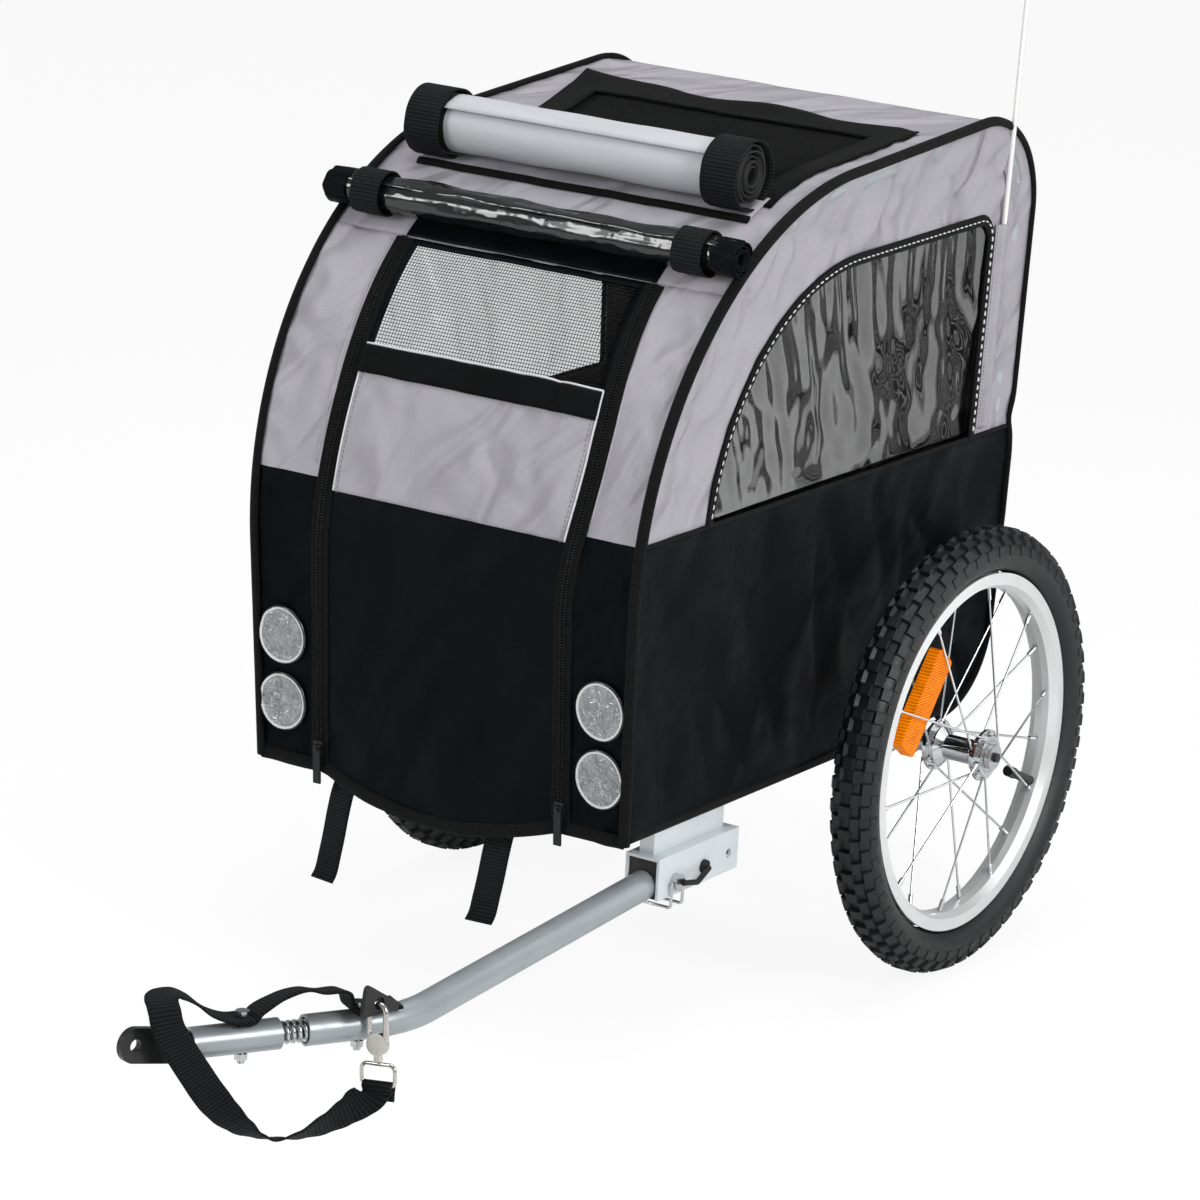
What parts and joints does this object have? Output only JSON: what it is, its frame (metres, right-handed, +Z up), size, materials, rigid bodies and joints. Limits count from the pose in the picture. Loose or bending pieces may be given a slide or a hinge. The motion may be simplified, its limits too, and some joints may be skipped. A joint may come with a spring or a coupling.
{
  "type": "dog trailer for a bicycle",
  "caption": "Two-wheeled cloth dog trailer with a mesh front door, rolled covers, spoked wheels and a bent drawbar with a sprung hitch.",
  "frame": {"origin": "middle of the part's box, on the ground under the tyres", "axes": "+Z up, -Y forward along the drawbar, +X to the trailer's left side"},
  "size_m": [0.576, 1.2169, 1.4666],
  "materials": {
    "left_side_frame": "silver grey powder coat",
    "right_side_frame": "silver grey powder coat",
    "cross_tubes": "silver grey powder coat",
    "axle_tube": "silver grey powder coat",
    "axle_bushings": "moulded black",
    "wheel_axles": "zinc plated",
    "wheel_bearings": "zinc plated",
    "floor_panel": "moulded black",
    "left_side_panel": "woven polyester",
    "right_side_panel": "woven polyester",
    "side_windows": "clear soft film",
    "front_strips": "woven polyester",
    "roof_panel": "woven polyester",
    "roof_mesh": "woven black",
    "rear_panel": "woven polyester",
    "roof_cover_roll": "woven polyester",
    "rain_cover_roll": "clear soft film",
    "roll_straps": "woven black",
    "front_reflectors": "reflective film",
    "door_straps": "woven black",
    "flag_sleeve": "woven black",
    "drawbar_bracket": "silver grey powder coat",
    "drawbar_block": "moulded black",
    "drawbar": "silver grey powder coat",
    "lock_pin": "zinc plated",
    "pin_lanyard": "woven black",
    "strap_buckle": "moulded black",
    "rear_spring_bolt": "zinc plated",
    "snap_hook": "plated",
    "left_tyre": "moulded rubber",
    "left_inner_tube": "black rubber",
    "left_rim": "polished",
    "left_spokes": "zinc plated",
    "left_hub": "plated",
    "left_reflector": "amber prism plastic",
    "right_tyre": "moulded rubber",
    "right_inner_tube": "black rubber",
    "right_rim": "polished",
    "right_spokes": "zinc plated",
    "right_hub": "plated",
    "right_reflector": "amber prism plastic",
    "left_axle_button": "moulded black",
    "right_axle_button": "moulded black",
    "pin_bail": "zinc plated",
    "safety_flag": "orange film on a fibreglass pole",
    "front_door": "woven polyester",
    "door_mesh": "woven black",
    "left_zip_slider": "dark metal",
    "right_zip_slider": "dark metal",
    "left_zip_pull": "dark metal",
    "right_zip_pull": "dark metal",
    "hitch_spring": "zinc plated",
    "bridge_strap": "woven black",
    "coupler_tube": "silver grey powder coat",
    "hitch_plate": "black powder coat",
    "front_spring_bolt": "zinc plated",
    "safety_strap": "woven black",
    "hook_gate": "plated",
    "swivel_loop": "plated"
  },
  "bodies": {
    "chassis": {"left_side_frame": "left_side_frame", "right_side_frame": "right_side_frame", "cross_tubes": "cross_tubes", "axle_tube": "axle_tube", "axle_bushings": "axle_bushings", "wheel_axles": "wheel_axles", "wheel_bearings": "wheel_bearings", "floor_panel": "floor_panel", "left_side_panel": "left_side_panel", "right_side_panel": "right_side_panel", "side_windows": "side_windows", "front_strips": "front_strips", "roof_panel": "roof_panel", "roof_mesh": "roof_mesh", "rear_panel": "rear_panel", "roof_cover_roll": "roof_cover_roll", "rain_cover_roll": "rain_cover_roll", "roll_straps": "roll_straps", "front_reflectors": "front_reflectors", "door_straps": "door_straps", "flag_sleeve": "flag_sleeve", "drawbar_bracket": "drawbar_bracket", "drawbar_block": "drawbar_block", "drawbar": "drawbar", "lock_pin": "lock_pin", "pin_lanyard": "pin_lanyard", "strap_buckle": "strap_buckle", "rear_spring_bolt": "rear_spring_bolt", "snap_hook": "snap_hook"},
    "left_wheel": {"left_tyre": "left_tyre", "left_inner_tube": "left_inner_tube", "left_rim": "left_rim", "left_spokes": "left_spokes", "left_hub": "left_hub", "left_reflector": "left_reflector"},
    "right_wheel": {"right_tyre": "right_tyre", "right_inner_tube": "right_inner_tube", "right_rim": "right_rim", "right_spokes": "right_spokes", "right_hub": "right_hub", "right_reflector": "right_reflector"},
    "left_button": {"left_axle_button": "left_axle_button"},
    "right_button": {"right_axle_button": "right_axle_button"},
    "bail": {"pin_bail": "pin_bail"},
    "flag": {"safety_flag": "safety_flag"},
    "door": {"front_door": "front_door", "door_mesh": "door_mesh"},
    "left_slider": {"left_zip_slider": "left_zip_slider"},
    "right_slider": {"right_zip_slider": "right_zip_slider"},
    "left_pull": {"left_zip_pull": "left_zip_pull"},
    "right_pull": {"right_zip_pull": "right_zip_pull"},
    "spring_middle": {"hitch_spring": "hitch_spring", "bridge_strap": "bridge_strap"},
    "coupler": {"coupler_tube": "coupler_tube", "hitch_plate": "hitch_plate", "front_spring_bolt": "front_spring_bolt", "safety_strap": "safety_strap"},
    "gate": {"hook_gate": "hook_gate"},
    "swivel": {"swivel_loop": "swivel_loop"}
  },
  "joints": [
    {"name": "left_wheel_spin", "type": "hinge", "parent": "chassis", "child": "left_wheel", "pos_m": [0.2507, 0.3314, 0.199], "axis": [1, 0, 0], "continuous": true},
    {"name": "right_wheel_spin", "type": "hinge", "parent": "chassis", "child": "right_wheel", "pos_m": [-0.2507, 0.3314, 0.199], "axis": [1, 0, 0], "continuous": true},
    {"name": "left_button_press", "type": "slide", "parent": "chassis", "child": "left_button", "axis": [-1, 0, 0], "range_m": [0, 0.0025], "stiffness_N_per_m": 1500, "springref_m": -0.001},
    {"name": "right_button_press", "type": "slide", "parent": "chassis", "child": "right_button", "axis": [1, 0, 0], "range_m": [0, 0.0025], "stiffness_N_per_m": 1500, "springref_m": -0.001},
    {"name": "bail_swing", "type": "hinge", "parent": "chassis", "child": "bail", "pos_m": [0.1931, -0.0316, 0.15405], "axis": [0, -1, 0], "range_deg": [0, 30]},
    {"name": "flag_lift", "type": "slide", "parent": "chassis", "child": "flag", "axis": [0.0297, 0, 0.9996], "range_m": [0, 0.175]},
    {"name": "door_lift", "type": "hinge", "parent": "chassis", "child": "door", "pos_m": [0, -0.015, 0.64585], "axis": [-1, 0, 0], "range_deg": [0, 95]},
    {"name": "left_zip_slide", "type": "slide", "parent": "door", "child": "left_slider", "axis": [0, -0.075, 0.9972], "range_m": [0, 0.16]},
    {"name": "left_pull_swing", "type": "hinge", "parent": "left_slider", "child": "left_pull", "pos_m": [0.12235, -0.10907, 0.21865], "axis": [0, -0.9972, -0.075], "range_deg": [-85, 85]},
    {"name": "right_zip_slide", "type": "slide", "parent": "door", "child": "right_slider", "axis": [0, -0.075, 0.9972], "range_m": [0, 0.16]},
    {"name": "right_pull_swing", "type": "hinge", "parent": "right_slider", "child": "right_pull", "pos_m": [-0.12235, -0.10907, 0.21865], "axis": [0, -0.9972, -0.075], "range_deg": [-85, 85]},
    {"name": "hitch_yaw", "type": "hinge", "parent": "chassis", "child": "spring_middle", "pos_m": [0.12492, -0.4724, 0.126], "axis": [0, 0, 1], "range_deg": [-45, 45], "stiffness_Nm_per_rad": 25, "deforming": ["hitch_spring", "bridge_strap", "safety_strap"]},
    {"name": "hitch_pitch", "type": "hinge", "parent": "spring_middle", "child": "coupler", "pos_m": [0.12492, -0.4724, 0.126], "axis": [0.8625, -0.506, 0], "range_deg": [-20, 20], "stiffness_Nm_per_rad": 25, "deforming": ["hitch_spring", "bridge_strap", "safety_strap"]},
    {"name": "hook_gate_open", "type": "hinge", "parent": "chassis", "child": "gate", "pos_m": [0.16977, -0.43159, 0.12609], "axis": [-0.0754, 0.994, -0.0798], "range_deg": [0, 28], "stiffness_Nm_per_rad": 0.02, "springref_deg": -11.46},
    {"name": "hook_swivel", "type": "hinge", "parent": "chassis", "child": "swivel", "pos_m": [0.17939, -0.43225, 0.10883], "axis": [-0.12, 0.0704, 0.9903], "range_deg": [-60, 60], "deforming": ["safety_strap"]}
  ]
}
